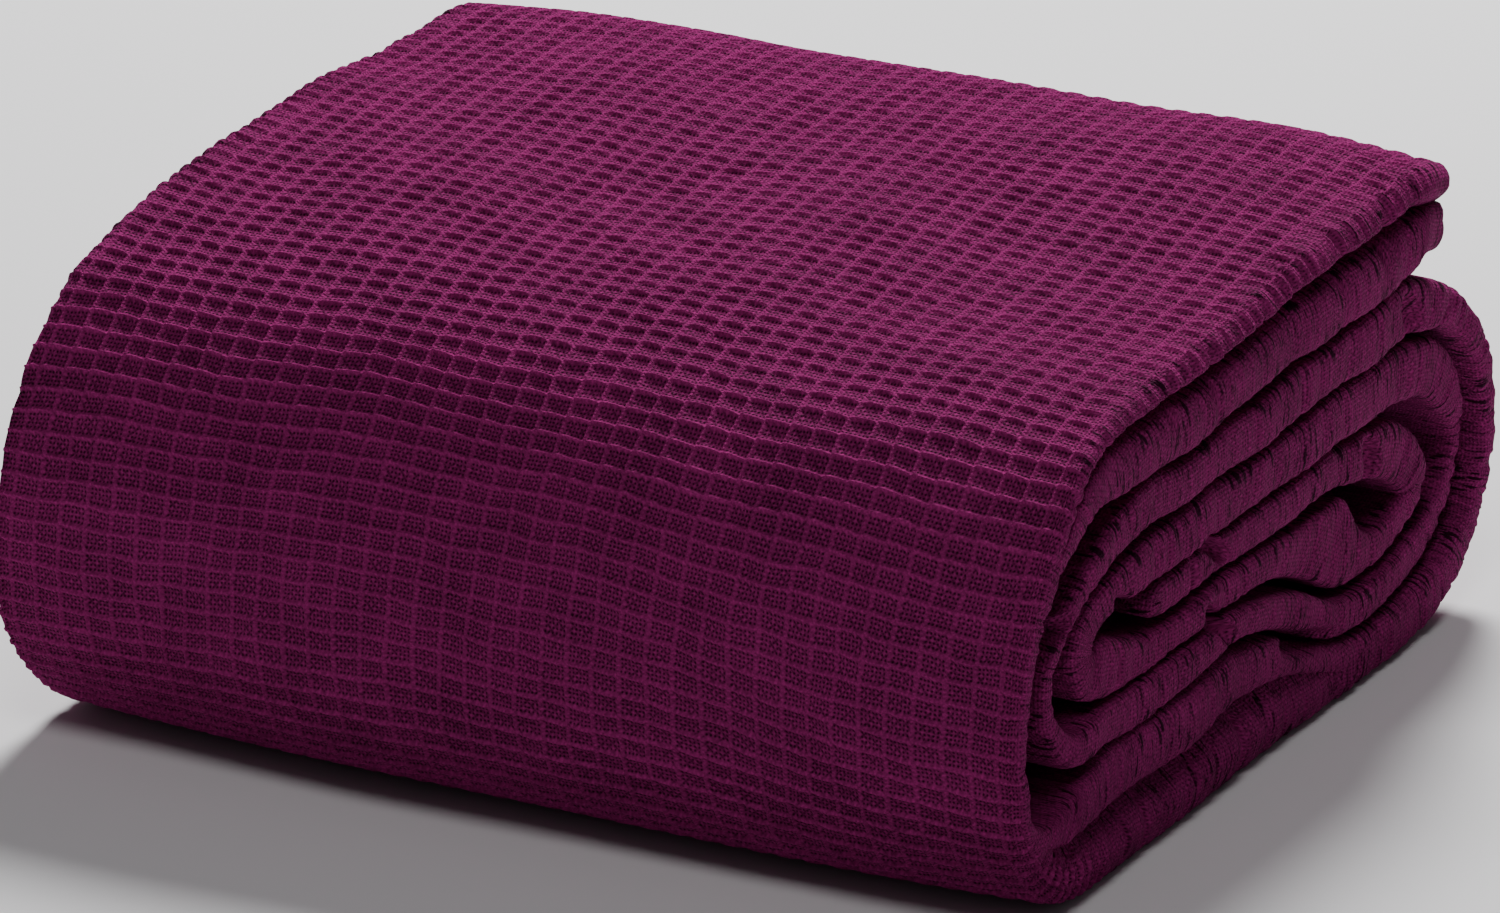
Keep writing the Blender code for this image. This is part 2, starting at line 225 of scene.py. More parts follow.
class Path:
    """The strip's outer side, walked from its outer end to its inner end."""

    STEP = 0.5              # from one point of the walk to the next
    PARTS = 40              # points worked out between two rows of the table
    WAY_BLUR = 3.0          # how far the direction is averaged over
    SIZE_BLUR = 4.0         # the same for the thickness and the columns after it
    OUTSIDE_COUNTS = 3.0    # how much farther a place outside a fold counts

    def __init__(self):
        u = np.arange(self.PARTS) / self.PARTS
        line = {}
        for c in NUMBERS:
            found = []
            for i, (row, after) in enumerate(zip(SECTION, SECTION[1:])):
                if c in (Y, Z, THICK):
                    found.append(spline(SECTION, c, i, u))
                else:
                    found.append(row[c] + (after[c] - row[c]) * u)
            line[c] = np.append(np.concatenate(found), SECTION[-1][c])
        line[Z] = np.maximum(line[Z], 0.0)
        run = np.append(0.0, np.cumsum(np.hypot(np.diff(line[Y]), np.diff(line[Z]))))
        self.long = run[-1]
        self.s = np.arange(0.0, self.long, self.STEP)
        self.at = {c: np.interp(self.s, run, v) for c, v in line.items()}
        way = np.unwrap(np.arctan2(np.gradient(self.at[Z]), np.gradient(self.at[Y])))
        self.way = smooth(way, self.WAY_BLUR / self.STEP)
        for c in (THICK, PAIR, SHARE, INSET, SAG):
            self.at[c] = smooth(self.at[c], self.SIZE_BLUR / self.STEP)
        # where each row of the table lies along the strip
        self.mark = {row[0]: run[i * self.PARTS] for i, row in enumerate(SECTION)}

    def way_at(self, s):
        """The path's direction in the YZ plane at distances s, in radians."""
        return np.interp(s, self.s, self.way)

    def read(self, column, s):
        """A column at distances s; the path runs straight on past its ends."""
        inside = np.interp(s, self.s, self.at[column])
        if column not in (Y, Z):
            return inside
        over = s - np.clip(s, 0.0, self.s[-1])
        way = self.way_at(s)
        return inside + over * (np.cos(way) if column == Y else np.sin(way))

    def nearest(self, y, z):
        """Distance along the strip of the fold whose middle is nearest (y, z)."""
        half_thick = 0.5 * self.at[THICK]
        away_y = y - (self.at[Y] - np.sin(self.way) * half_thick)
        away_z = z - (self.at[Z] + np.cos(self.way) * half_thick)
        across = np.abs(away_y * -np.sin(self.way) + away_z * np.cos(self.way))
        outside = np.maximum(0.0, across - half_thick)
        return self.s[np.argmin(np.hypot(away_y, away_z) + self.OUTSIDE_COUNTS * outside)]


PATH = Path()
MARK = PATH.mark


# ------------------------------------------------------------- soft unevenness
def drawn(seed):
    """A random source of its own for each use, the same on every run."""
    return np.random.RandomState(SEED * 100 + seed)


class Waves:
    """A smooth uneven field of two coordinates, made of a few waves."""

    def __init__(self, length, high, seed, count=9):
        draw = drawn(seed)
        angle = draw.uniform(0, 2 * math.pi, count)
        pitch = 2 * math.pi / (length * draw.uniform(0.7, 1.6, count))
        self.a, self.b = pitch * np.cos(angle), pitch * np.sin(angle)
        self.phase = draw.uniform(0, 2 * math.pi, count)
        self.scale = math.sqrt(2.0 / count)
        self.high = high

    def __call__(self, a, b):
        total = 0.0
        for ka, kb, phase in zip(self.a, self.b, self.phase):
            total = total + np.sin(ka * a + kb * b + phase)
        return self.high * (total * self.scale)


# each by the length of its waves, their height and its seed
WIDE_SLOW = Waves(150.0, 0.80, 1)       # the outer side, in and out
WIDE_SOFT = Waves(62.0, 0.15, 2)
LATTICE_X = Waves(70.0, 0.50, 3)        # the cells, along X
LATTICE_S = Waves(85.0, 0.60, 4)        # the cells, along the strip
LATTICE_FINE = Waves(24.0, 0.20, 5)
FOLD_SWELL = Waves(75.0, 0.40, 6)       # the folded edges, in and out
FOLD_LUMPS = Waves(19.0, 0.15, 7)
END_OUT = Waves(48.0, 0.40, 8)          # the roll's ends, along X, Y and Z
END_Y = Waves(60.0, 0.50, 9)
END_Z = Waves(55.0, 0.45, 10)

# how far apart two readings of one field are taken, so that they differ
SIDES_APART = 400.0
LATTICE_APART = 500.0
ENDS_APART = 900.0

SEED_FLOOR = 11             # the depth of each cell's floor
SEED_SLITS = 12             # and 13, the slits beside the ribs of the folds
SEED_RAGGED = 15            # how unevenly the cells end at the top's edge
SEED_STRAND = 16            # the strands over the top's edge
SEED_CREASES = 20           # 19 and 21, the small creases at -X and at +X
DRAWN_COLUMNS = 160         # columns of cells that values are drawn for
DRAWN_MIDDLE = 70           # the one of them in the middle of the strip


def bump(x, width):
    """1 at x = 0, falling to 0 over about twice width."""
    return np.exp(-(x / width) ** 2)


def ramp(x, low, high):
    """0 at low, 1 at high and smooth between; low may be the greater one."""
    t = np.clip((x - low) / (high - low), 0.0, 1.0)
    return t * t * (3 - 2 * t)


def between(s, start, full, fading, gone):
    """1 from the place full to fading, 0 before start and after gone."""
    return ramp(s, MARK[start], MARK[full]) * (1 - ramp(s, MARK[fading], MARK[gone]))


# ------------------------------------------------------ the rows and columns
CELLS_FLAT = 19             # waffle cells from the middle to a folded edge
CELLS_OUTER = 3             # cells round the outer fold
CELLS_INNER = 4             # cells round the inner fold
CUTS = (0.0, 0.05, 0.12, 0.32, 0.68, 0.88, 0.95)    # points within a cell
WOUND_CUTS = (0.0, 0.25, 0.5, 0.75)                 # the same in the wound turns
ROWS = int(PATH.long / CELL_S)                      # whole cells along the strip
OUTER, FOLDED, INWARD = range(3)                    # zones of the columns


def cell_steps(cells, cuts):
    """The places of the points over a number of cells, in cells."""
    return np.array([k + f for k in range(cells) for f in cuts] + [cells])


class Columns:
    """The columns of a grid, once round the strip from its inner side's middle.

    They pass the folds at -X, the outer side and the folds at +X, and both
    halves are alike.  zone says where a column lies, value its place within
    the zone, cells its place in waffle cells, order its number from the outer
    side's middle, and side is -1 or 1.
    """

    def __init__(self, outer_steps, inward_parts, cuts):
        outer = np.array([k for k in outer_steps if k < CELLS_FLAT])
        inward = np.array(inward_parts)
        folds = np.concatenate([cell_steps(CELLS_OUTER, cuts),
                                CELLS_OUTER + cell_steps(CELLS_INNER, cuts)[1:]])
        zone = np.repeat([OUTER, FOLDED, INWARD], [len(outer), len(folds), len(inward)])
        value = np.concatenate([outer / CELLS_FLAT, np.arange(len(folds)), inward])
        cells = np.concatenate([outer, CELLS_FLAT + folds,
                                CELLS_FLAT + folds[-1] + (1 - inward) * CELLS_FLAT])
        self.cuts = cuts
        self.first = len(outer)             # the folds' first column, of one half
        self.middle = len(zone) - 1
        order = np.arange(-self.middle, len(zone))
        self.order = np.abs(order)
        self.side = np.where(order < 0, -1.0, 1.0)
        self.zone, self.value, self.cells = (v[self.order] for v in (zone, value, cells))


def cell_value(row, column, seed, low, high):
    """A value drawn once for each waffle cell."""
    grid = drawn(seed).uniform(low, high, (ROWS + 4, DRAWN_COLUMNS))
    return grid[np.clip(np.floor(row).astype(int), 0, ROWS + 3),
                np.clip(np.floor(column + DRAWN_MIDDLE).astype(int), 0, DRAWN_COLUMNS - 1)]


def row_value(row, column, lane, seed, low, high):
    """A value drawn once for each row of cells; lane tells several apart."""
    return cell_value(row, 0 * column + lane, seed, low, high)


# --------------------------------------------------------- the fold at an end
FOLD_POINTS = 61            # points that a fold's line is worked out from
ROUND_SHARE = 0.62          # a single fold rounds over at most this of its thickness
PAIR_SHARE = 0.9            # the same for the inner one of two


def round_back(c, deep, full=FOLD_FULLNESS):
    """How far a rounded fold stands back at c, from -1 over 0 to 1."""
    c = np.clip(np.abs(c), 0, 1)
    return deep * (1 - (1 - c ** full) ** (1 / full))


def outer_of_pair(own, lean, crack):
    """The outer one of two folds: a rounded edge that overhangs a deep crack."""
    apex = EDGE_APEX * lean
    upper = round_back((own - apex) / (1 + apex), EDGE_BACK, EDGE_FULLNESS)
    lower = crack * np.maximum((own - apex) / (1 - apex), 0) ** EDGE_FULLNESS
    return np.where(own < apex, upper, lower)


def inner_of_pair(own, crack, most):
    """The inner one of two folds: plump, with the crack on its outer side."""
    return round_back(own, np.minimum(np.where(own < 0, crack, FOLD_BACK), most))


def fold_shape(s, cuts):
    """The rounded edge of the strip at each row, as two runs of columns.

    Gives (across, back): the part of the thickness and the distance in from
    the folded edge, evenly spread along the fold's own line.
    """
    thick, pair, share = (PATH.read(c, s) for c in (THICK, PAIR, SHARE))
    lean = ramp(s, *EDGE_GROWS) * (1 - ramp(s, MARK["front low"], MARK["floor"]))
    wound_in = ramp(s, MARK["rear high"], MARK["second top"])
    rounding = FOLD_BACK + (INNER_BACK - FOLD_BACK) * wound_in
    crack = CRACK * (CRACK_AT_END + (1 - CRACK_AT_END) * ramp(s, *CRACK_GROWS))
    own = -np.cos(np.linspace(0.0, math.pi, FOLD_POINTS))       # -1 to 1 over one fold
    counts = (cell_steps(CELLS_OUTER, cuts) / CELLS_OUTER,
              cell_steps(CELLS_INNER, cuts)[1:] / CELLS_INNER)
    across_all = np.zeros((len(s), len(counts[0]) + len(counts[1])))
    back_all = np.zeros_like(across_all)

    for r in range(len(s)):
        at = 0
        for fold, steps in enumerate(counts):
            start, size = (0.0, share[r]) if fold == 0 else (share[r], 1 - share[r])
            across = start + size * (0.5 + 0.5 * own)
            single = round_back(2 * across - 1, min(rounding[r], ROUND_SHARE * thick[r]))
            if fold == 0:
                paired = outer_of_pair(own, lean[r], crack[r])
            else:
                paired = inner_of_pair(own, crack[r], PAIR_SHARE * thick[r] * size)
            back = single + (paired - single) * pair[r]
            line = np.append(0, np.cumsum(np.hypot(np.diff(across * thick[r]), np.diff(back))))
            where = steps * line[-1]
            across_all[r, at:at + len(steps)] = np.interp(where, line, across)
            back_all[r, at:at + len(steps)] = np.interp(where, line, back)
            at += len(steps)
    return across_all, back_all


def edge_view(s, columns):
    """Each point seen from above the strip, before any crease.

    Gives its distance from the strip's middle, its part of the thickness and
    how far it stands back from the folded edge.
    """
    across_fold, back_fold = fold_shape(s[:, 0], columns.cuts)
    ends = columns.side * SIDES_APART
    half = 0.5 * LENGTH - PATH.read(INSET, s) + FOLD_SWELL(ends, s) + FOLD_LUMPS(ends, s)
    on_edge = columns.zone == FOLDED
    own = np.where(on_edge, columns.value, 0).astype(int)
    across = np.where(on_edge, across_fold[:, own], np.where(columns.zone == INWARD, 1.0, 0.0))
    back = np.where(on_edge, back_fold[:, own], 0.0)
    meets = np.where(columns.zone == OUTER, back_fold[:, :1], back_fold[:, -1:])
    out = np.where(on_edge, half - back, columns.value * (half - meets))
    return out, across, back


# ------------------------------------------------------- creases and pockets
MIRRORED_ON = 23.0          # how far along the strip the creases lie at -X
MIRRORED_DEEP = 0.8         # how deep they are there, beside those at +X
CREASE_SLANT = 2.5          # how far a small crease slants over half a fold
SMALL_DEEP = (0.1, 1.3)     # least and most of the small creases' depth,
SMALL_WIDE = (1.2, 2.6)     # their width,
SMALL_APART = (6.0, 20.0)   # and the way from one to the next
SMALL_FIRST = (4.0, 20.0)
SMALL_REACH = 12.0          # nothing of a small crease is left so far from it
POCKET_STARTS = 120.0       # x where a pocket begins to open
POCKET_FULL = 160.0
ROLL_HALF_Y = 174.0         # the roll's outline in the end view, a rounded box
ROLL_HALF_Z = 82.0
ROLL_MIDDLE_Z = 80.0


def crease_depth(s, side, half):
    """Depth of the listed creases and the small drawn ones.

    half runs from -1 on the outer side of the fold to 1 on the inner.
    """
    deep = np.zeros(half.shape)
    for y, z, depth, wide, which in CREASES:
        at = PATH.nearest(y, z)
        span = 1.0 if which == 0 else ramp(which * half, -0.35, 0.25)
        deep = deep + depth * bump(s - at, wide * 0.5) * span * (side > 0)
        deep = deep + depth * MIRRORED_DEEP * bump(s - at - MIRRORED_ON, wide * 0.5) \
            * span * (side < 0)
    for end in (-1, 1):
        draw = drawn(SEED_CREASES + end)
        at = draw.uniform(*SMALL_FIRST)
        while at < PATH.long:
            depth, wide, lean = (draw.uniform(*span) for span in (SMALL_DEEP, SMALL_WIDE, (-1, 1)))
            near = np.abs(s[:, 0] - at) < SMALL_REACH
            local = s[near] - at - CREASE_SLANT * lean * half[near]
            deep[near] += depth * bump(local, wide) * (side == end)
            at += draw.uniform(*SMALL_APART)
    return deep


def pocket_depth(x, y, z, pocket):
    """How far a pocket presses the +X end in at each point."""
    y1, z1, y2, z2, wide, deep = pocket
    long = math.hypot(y2 - y1, z2 - z1)
    dy, dz = (y2 - y1) / long, (z2 - z1) / long
    away_y, away_z = y - 0.5 * (y1 + y2), z - 0.5 * (z1 + z2)
    along = np.abs(away_y * dy + away_z * dz) / (0.5 * long)
    over = np.abs(away_z * dy - away_y * dz) / (0.5 * wide)
    shape = np.exp(-(along ** 2.5 + over ** 2.5) ** 1.6)
    return deep * shape * ramp(x, POCKET_STARTS, POCKET_FULL)


def end_warp(points):
    """The ends of the roll, pushed about so that its cracks run unevenly."""
    x, y, z = points[..., 0], points[..., 1], points[..., 2]
    rim = (np.abs(y / ROLL_HALF_Y) ** 3 + np.abs((z - ROLL_MIDDLE_Z) / ROLL_HALF_Z) ** 3) ** (1 / 3)
    inside = 1 - 0.8 * ramp(rim, 0.72, 0.98)
    edge = ramp(np.abs(x), 90.0, 175.0) * inside * ramp(z, 4.0, 20.0)
    apart = np.where(x > 0, 0.0, ENDS_APART)
    for pocket in POCKETS:
        dent = pocket_depth(x, y, z, pocket)
        points = points - np.stack([dent, 0 * dent, 0 * dent], -1)
    return points + np.stack([np.sign(x) * edge * END_OUT(y + apart, z),
                              edge * END_Y(y + apart, z), edge * END_Z(y + apart, z)], -1)


# ------------------------------------------------------------- the whole cloth
# How the cloth goes round one cut end of the strip: an angle and a tuck for
# each row, the fold's column that it turns about, the side that turns (-1
# outer, 1 inner, 0 both), and the end, -1 the strip's outer and 1 its inner.
Turn = namedtuple("Turn", "angle tuck tip turning end")

# A stretch of finished cloth: its points, their places in cells along and
# across the strip, and how far each lies on a fold and in a crack, 0 to 1.
Grid = namedtuple("Grid", "points row column fold crack")

CELLS_EARLY = 0.4           # how many cells before the edge the waffle ends
CELLS_PAST = 2.2            # how many more it has at the front, and fewer below
CELLS_RAGGED = (-0.8, 0.2)  # how unevenly it ends at the top
DIP_RIGHT = 9.0             # how far the front's rows slide down near +X
DIP_LEFT = 2.5              # the same near -X
DIP_MIDDLE = -3.0           # a little left of the middle they lie higher
PLUMP = 4.0                 # how far the flap is plumped up, and where
PLUMP_X = 122.0
PLUMP_WIDE = 42.0
PLUMP_FADES = (30.0, 110.0)
SINK = 0.6                  # how far the cloth lies under its path, before its waves
FREE = 25.0                 # height over the floor from which that holds in full


def ribbed(s, row, columns):
    """0 where the waffle cells are whole, 1 where a fold pulls them to ribs.

    The cells keep their shape well round the front's fold, and lose it
    before the folds of the floor and the rear.
    """
    front = between(s, "shoulder", "front upper", "front low", "floor")
    below = ramp(s, MARK["front low"], MARK["floor"])
    above = 1 - ramp(s, MARK["top front"], MARK["front high"])
    ragged = cell_value(row, columns.side * 30.0, SEED_RAGGED, *CELLS_RAGGED)
    starts = CELLS_FLAT - CELLS_EARLY + CELLS_PAST * (front - below) + above * ragged
    return ramp(columns.cells - starts, 0.0, 1.0)


def in_crack(s, across, columns):
    """1 deep between two folds or two turns, 0 on the middle of a fold."""
    share, pair = PATH.read(SHARE, s), PATH.read(PAIR, s)
    lobe = np.where(across < share, across / share, (across - share) / (1 - share))
    paired, single = np.abs(2 * lobe - 1), np.abs(2 * across - 1)
    return np.where(columns.zone == FOLDED, paired * pair + single * (1 - pair), 0) ** 2


def front_dip(x, s):
    """How far the rows of the front slide down towards its two ends."""
    slides = DIP_RIGHT * ramp(x, 20.0, 175.0) + DIP_LEFT * ramp(-x, 90.0, 180.0) \
        + DIP_MIDDLE * bump(x + 30.0, 60.0)
    return between(s, "top front", "front", "front foot", "floor") * slides


def wander(x, s, columns):
    """How far the cloth's columns and rows stray, along X and along the strip."""
    stray_x = LATTICE_X(x, s) + LATTICE_FINE(x, s)
    stray_x = stray_x * (1 - ramp(np.abs(x), 150.0, 172.0)) * (columns.zone == OUTER)
    stray_s = front_dip(x, s) + LATTICE_S(x, s) + LATTICE_FINE(x + LATTICE_APART, s)
    stray_s = stray_s * ramp(s, *STRAY_GROWS) * ramp(PATH.long - s, *STRAY_GROWS)
    return stray_x, stray_s


def sunk(x, s, place, across):
    """Each point's depth under the path: its thickness, sag and unevenness."""
    outward = 1 - across
    # the -X half sags by another share: less and less over the top, even a
    # little up, and fully at the front
    left = 0.7 - ramp(s, 40.0, 190.0) + 1.3 * ramp(s, MARK["shoulder"], MARK["front"])
    sag = PATH.read(SAG, place) * (np.abs(x) / (0.5 * LENGTH)) ** 4 * outward
    sag = sag * np.where(x > 0, 1.0, left)
    plump = PLUMP * bump(x - PLUMP_X, PLUMP_WIDE) * (1 - ramp(s, *PLUMP_FADES)) * outward
    free = ramp(PATH.read(Z, place), 0.0, FREE)
    uneven = (WIDE_SLOW(x, s) + WIDE_SOFT(x, s) + SINK) * outward * free
    return across * PATH.read(THICK, place) + sag + uneven - plump


def go_round(turn, columns, x, depth):
    """Carry the rows of a turn round their cut end: new x, depth and along."""
    angle, tuck = (np.array(v)[:, None] for v in (turn.angle, turn.tuck))
    at = columns.first + turn.tip
    tips = columns.middle + np.where(columns.side < 0, -at, at)
    centre, tip_x = depth[:, tips], x[:, tips]
    still = (turn.turning != 0) & ((columns.order - at) * turn.turning < 0) & (angle > 0)
    offset = np.where(still, 0.0, depth - centre)
    along = turn.end * (np.abs(offset) * np.sin(angle) - np.where(still, 0.0, tuck))
    return np.where(still, tip_x, x), centre + offset * np.cos(angle), along


def cloth(steps, columns, turn=None):
    """A stretch of the cloth before its weave, as a Grid.

    steps are the distances of its rows along the strip.
    """
    s = np.asarray(steps, float)[:, None]
    row = s / CELL_S
    s = np.clip(s, 0.0, PATH.long)
    out, across, back = edge_view(s, columns)

    # creases press the folded edge in
    on_edge = columns.zone == FOLDED
    half = np.where(on_edge, 2 * across - 1, 0.0)
    pressed = crease_depth(s, columns.side, half) * ramp(s, *CREASES_GROW)
    swell = 1.0 - np.abs(2 * across - 1) ** 2
    crease = pressed * (0.25 + 0.75 * swell) * ramp(back, CRACK, 0.0)
    x = (out - np.where(on_edge, crease, 0.0)) * columns.side

    stray_x, stray_s = wander(x, s, columns)
    x, place = x + stray_x, s + stray_s
    depth = sunk(x, s, place, across)
    along = np.zeros_like(depth)
    if turn is not None:
        x, depth, along = go_round(turn, columns, x, depth)
    way = PATH.way_at(place)
    y = PATH.read(Y, place) - np.sin(way) * depth + np.cos(way) * along
    z = PATH.read(Z, place) + np.cos(way) * depth + np.sin(way) * along
    return Grid(end_warp(np.stack([x, y, z], -1)), row + 0 * x,
                columns.cells * columns.side + 0 * x,
                ribbed(s, row, columns), in_crack(s, across, columns))


# ------------------------------------------------------------------ the weave
FLOOR_DEPTHS = (0.85, 1.1)  # least and most of a cell's depth, over the relief
SLIT_PLACES = (-1.8, 2.6)   # where a slit's middle lies, in cells past the edge
STRAND_HEIGHTS = (0.2, 1.0)     # of the strands that cross the top's edge
SLIT_WIDE = 0.7             # of the slits beside the ribs, along the strip
SLIT_REACH = 1.1            # how far such a slit runs round the fold, in cells
SLIT_DEEP = 0.75            # how deep it is, the rest also as parts of the relief
RIB_DEEP = 0.14             # between two ribs
RIB_DEEPEST = 1.1


def cells_deep(row, column, u, v):
    """Depth of the waffle cells under their cords, as a part of the relief."""
    arch = (1 - np.abs(u) / (0.5 * CELL_X)) ** 1.6
    cord_x = bump(v, RIDGE_X) * (1 - CORD_SAG / RELIEF * arch)
    cord_s = bump(u, RIDGE_S) * (1 - CORD_LOW / RELIEF)
    floor = cell_value(row, column, SEED_FLOOR, *FLOOR_DEPTHS)
    return (1 - np.maximum(cord_x, cord_s)) * floor


def ribs_deep(row, column, v):
    """Depth between the ribs of a fold, with a slit beside some of them."""
    part = row - np.floor(row)
    reach = np.abs(column) - CELLS_FLAT
    slit = 0.0
    for n, (near, far) in enumerate((CUTS[2:4], CUTS[4:6])):
        seed = SEED_SLITS + n
        at = np.where(row_value(row, column, 0, seed, 0.0, 1.0) < 0.5, near, far)
        deep = row_value(row, column, 5, seed, 0.0, 1.0) ** 1.2
        middle = row_value(row, column, 9, seed, *SLIT_PLACES)
        slit = slit + deep * bump((part - at) * CELL_S, SLIT_WIDE) \
            * bump(reach - middle, SLIT_REACH)
    # strands cross the top's edge, and the ribs fade out at the flap's end
    s = row * CELL_S
    over_edge = ramp(reach, -1.0, -0.2) * (1 - ramp(reach, 0.7, 1.3)) \
        * (1 - ramp(s, MARK["top front"], MARK["front high"]))
    strand = row_value(row, column, 3, SEED_STRAND, *STRAND_HEIGHTS)
    rib = RIB_DEEP * (1 - bump(v, 1.2)) + over_edge * strand * (1 - bump(v, 1.9)) \
        + SLIT_DEEP * slit
    return np.minimum(rib, RIB_DEEPEST) * ramp(s, *RIBS_GROW)


def weave_relief(row, column, fold):
    """Height of the weave over the cloth's top (0 on a ridge)."""
    u = (column - np.round(column)) * CELL_X
    slant = CORD_SKEW / CELL_S * (column - np.floor(column) - 0.5)
    v = (row - slant - np.round(row - slant)) * CELL_S
    cells, ribs = cells_deep(row, column, u, v), ribs_deep(row, column, v)
    return -RELIEF * (cells * (1 - fold) + ribs * fold)


def yarn_cells(points, column):
    """The column's place in cells, by true distance beyond the flat side."""
    step = np.linalg.norm(np.diff(points, axis=1), axis=-1) / CELL_X
    run = np.concatenate([np.zeros((len(points), 1)), np.cumsum(step, axis=1)], axis=1)
    cells = column.copy()
    middle = column.shape[1] // 2
    for side in (-1, 1):
        edge = middle + side * np.argmax(np.abs(column[0, middle::side]) >= CELLS_FLAT)
        beyond = slice(edge, None) if side > 0 else slice(None, edge + 1)
        cells[:, beyond] = column[:, edge:edge + 1] + run[:, beyond] - run[:, edge:edge + 1]
    return cells


def normals_of(points):
    """The outward direction at each point of a grid."""
    out = np.cross(np.gradient(points, axis=0), np.gradient(points, axis=1))
    size = np.linalg.norm(out, axis=-1, keepdims=True)
    return out / np.maximum(size, 1e-9)


def woven(steps, columns, turn=None):
    """A stretch of the finished cloth, with its weave, as a Grid."""
    bare = cloth(steps, columns, turn)
    relief = weave_relief(bare.row, bare.column, bare.fold)
    return bare._replace(points=bare.points + normals_of(bare.points) * relief[..., None],
                         column=yarn_cells(bare.points, bare.column))


# ------------------------------------------------------------------- meshes
def make_piece(name, grid, material):
    """A cloth piece from a grid, with its places in cells as a UV map."""
    rows, columns = grid.row.shape
    index = np.arange(rows * columns).reshape(rows, columns)
    quads = np.stack([index[:-1, :-1], index[:-1, 1:], index[1:, 1:], index[1:, :-1]], -1)
    mesh = bpy.data.meshes.new(name)
    mesh.from_pydata((grid.points.reshape(-1, 3) * MM).tolist(), [], quads.reshape(-1, 4).tolist())
    loops = np.empty(len(mesh.loops), int)
    mesh.loops.foreach_get("vertex_index", loops)
    uv = np.stack([grid.column.reshape(-1), grid.row.reshape(-1)], -1)[loops]
    mesh.uv_layers.new(name="weave").data.foreach_set("uv", uv.reshape(-1))
    for label, values in (("fold", grid.fold), ("crack", grid.crack)):
        attribute = mesh.attributes.new(label, "FLOAT", "POINT")
        attribute.data.foreach_set("value", values.reshape(-1).astype(np.float32))
    weld(mesh)
    mesh.shade_smooth()
    mesh.materials.append(material)
    piece = bpy.data.objects.new(name, mesh)
    bpy.context.scene.collection.objects.link(piece)
    return piece


def weld(mesh):
    """Join points that lie in one place, as at the rounded ends."""
    bm = bmesh.new()
    bm.from_mesh(mesh)
    bmesh.ops.remove_doubles(bm, verts=bm.verts, dist=WELD)
    bm.to_mesh(mesh)
    bm.free()


def grid_area(points):
    """The area of a grid of points, in square metres."""
    a, b, c, d = points[:-1, :-1], points[:-1, 1:], points[1:, 1:], points[1:, :-1]
    one = np.linalg.norm(np.cross(b - a, c - a), axis=-1)
    two = np.linalg.norm(np.cross(c - a, d - a), axis=-1)
    return 0.5 * (one.sum() + two.sum()) * MM * MM


# ------------------------------------------------------------------ material
YARNS_X = 7                 # yarns across a cell
YARNS_S = 5                 # yarns along a cell
# The two ends of the tone ramp: besides random tone, painted highlight moves the cords toward
# BRIGHT_PLUM and painted shade moves the holes and slits toward DEEP_PLUM.
DEEP_PLUM = (0.026, 0.0022, 0.015, 1.0)
BRIGHT_PLUM = (0.505, 0.029, 0.245, 1.0)
SHEEN_PLUM = (0.80, 0.10, 0.45, 1.0)
CORD_X_SHARP = 8.5          # how sharply the cords along X are drawn,
CORD_S_SHARP = 12.0         # and those along the strip
YARN_BUMP = 0.0004          # metres that a height of 1 stands for
YARN_HIGH = 0.40
HOLE_DEEP = 2.1
LINT_HIGH = 2.6
STROKE_DEEP = 1.6
CRIMP_HIGH = 2.5
TONE_LEAST = 0.24           # parts of the tone, 0 deep plum to 1 bright plum
RIDGE_PAINTED_HIGHLIGHT = 0.23
TONE_WANDER = 0.30
HEIGHT_PAINTED_SHADE_AND_LINT = 0.32


class Value:
    """A value in a material's node tree, for sums with + and - and *."""

    def __init__(self, tree, socket):
        self.tree, self.socket = tree, socket

    def __add__(self, other):
        return calc("ADD", self, other)

    def __sub__(self, other):
        return calc("SUBTRACT", self, other)

    def __rsub__(self, other):
        return calc("SUBTRACT", other, self)

    def __mul__(self, other):
        return calc("MULTIPLY", self, other)


def add_node(tree, kind, **inputs):
    """A new node with some inputs set, each to a number, a tuple or a Value."""
    node = tree.nodes.new(kind)
    for name, value in inputs.items():
        connect(tree, value, node.inputs[name.replace("_", " ")])
    return node


def connect(tree, value, socket):
    """Give a socket a link from a Value, or else a constant."""
    if isinstance(value, Value):
        tree.links.new(value.socket, socket)
    else:
        socket.default_value = value


def calc(operation, *values):
    """The result of one math node, from numbers and Values."""
    tree = next(value.tree for value in values if isinstance(value, Value))
    node = add_node(tree, "ShaderNodeMath")
    node.operation = operation
    for value, socket in zip(values, node.inputs):
        connect(tree, value, socket)
    return Value(tree, node.outputs[0])


def noise(places, scale, detail):
    """Soft noise about 0.5 at the places of a vector Value."""
    node = add_node(places.tree, "ShaderNodeTexNoise", Vector=places, Scale=scale, Detail=detail)
    return Value(places.tree, node.outputs["Fac"])


def attribute(tree, name):
    """A value that make_piece wrote on the points of the mesh."""
    node = add_node(tree, "ShaderNodeAttribute")
    node.attribute_name = name
    return Value(tree, node.outputs["Fac"])


def cord(value, sharp):
    """1 on a cord, falling to 0 beside it."""
    away = calc("PINGPONG", value, 0.5)
    return 1.0 - calc("SMOOTH_MIN", away * sharp, 1.0, 0.4)


def yarn_wave(value, count):
    """A wave over a cell's yarns, which changes sign from one to the next."""
    return calc("SINE", value * (math.pi * count))


def yarns_height(u, v, ridge, fold):
    """Yarns over and under each other, with a low hole between each four, which the material's tone
    also paints darker, as painted shade.
    """
    wave_u, wave_v = yarn_wave(u, YARNS_X), yarn_wave(v, YARNS_S)
    hole = (1.0 - calc("ABSOLUTE", wave_u)) * (1.0 - calc("ABSOLUTE", wave_v))
    worn = calc("MAXIMUM", ridge * 0.75, fold * 0.4)
    return (wave_u * wave_v * YARN_HIGH - hole * HOLE_DEEP) * (1.0 - worn)


